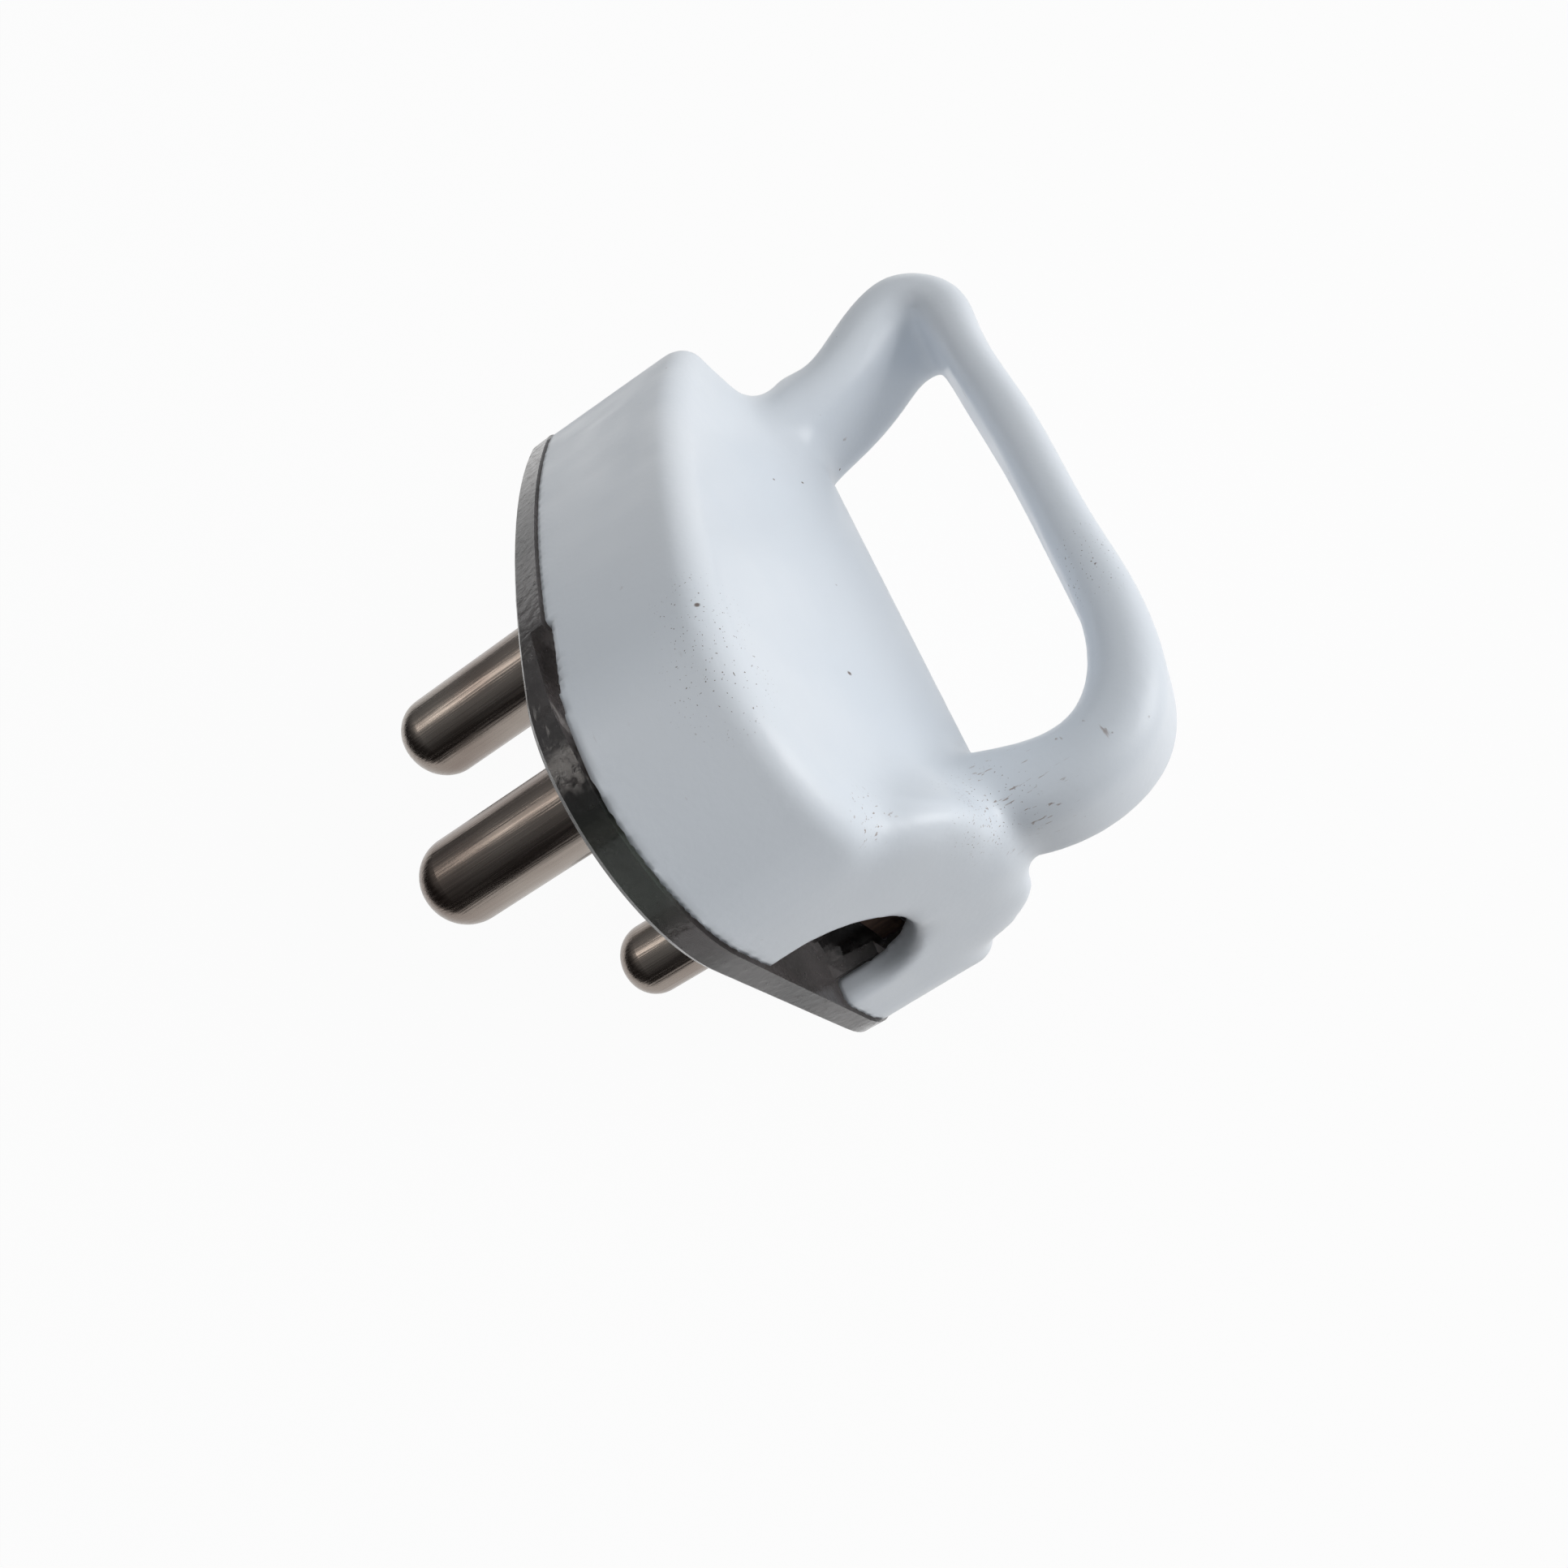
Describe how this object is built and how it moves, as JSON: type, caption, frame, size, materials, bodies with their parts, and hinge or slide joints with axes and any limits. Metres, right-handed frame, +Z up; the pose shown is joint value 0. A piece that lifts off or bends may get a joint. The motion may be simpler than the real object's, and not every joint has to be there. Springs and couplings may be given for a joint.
{
  "type": "three-pin plug",
  "caption": "Round-pin mains plug with a clear base plate, a white cover and a moulded finger loop on its back.",
  "frame": {"origin": "on the engagement face, midway between the two current pins", "axes": "-Y points the way the pins do, +Y to the finger loop, +Z up: the plug lies on one long side, its length turned up by 16 degrees from +X at the earth end to the cord end"},
  "size_m": [0.0658, 0.0695, 0.0496],
  "materials": {
    "white_moulding": "satin gloss, a little scuffed",
    "clear_moulding": "clear with a smoky tint",
    "nickel_plated_pin": "bright nickel plate over turned brass, fine lengthwise brushing",
    "brass_screw": "turned",
    "steel_screw": "zinc plated",
    "clamp_fibre": "pressed fibre"
  },
  "bodies": {
    "root": {"cover": "white_moulding", "base_plate": "clear_moulding", "earth_pin": "nickel_plated_pin", "line_pin": "nickel_plated_pin", "neutral_pin": "nickel_plated_pin", "earth_terminal_screw": "brass_screw", "line_terminal_screw": "brass_screw", "neutral_terminal_screw": "brass_screw", "join_screw": "steel_screw", "join_nut": "brass_screw", "cord_clamp": "clamp_fibre", "near_clamp_screw": "steel_screw", "far_clamp_screw": "steel_screw"}
  },
  "joints": []
}
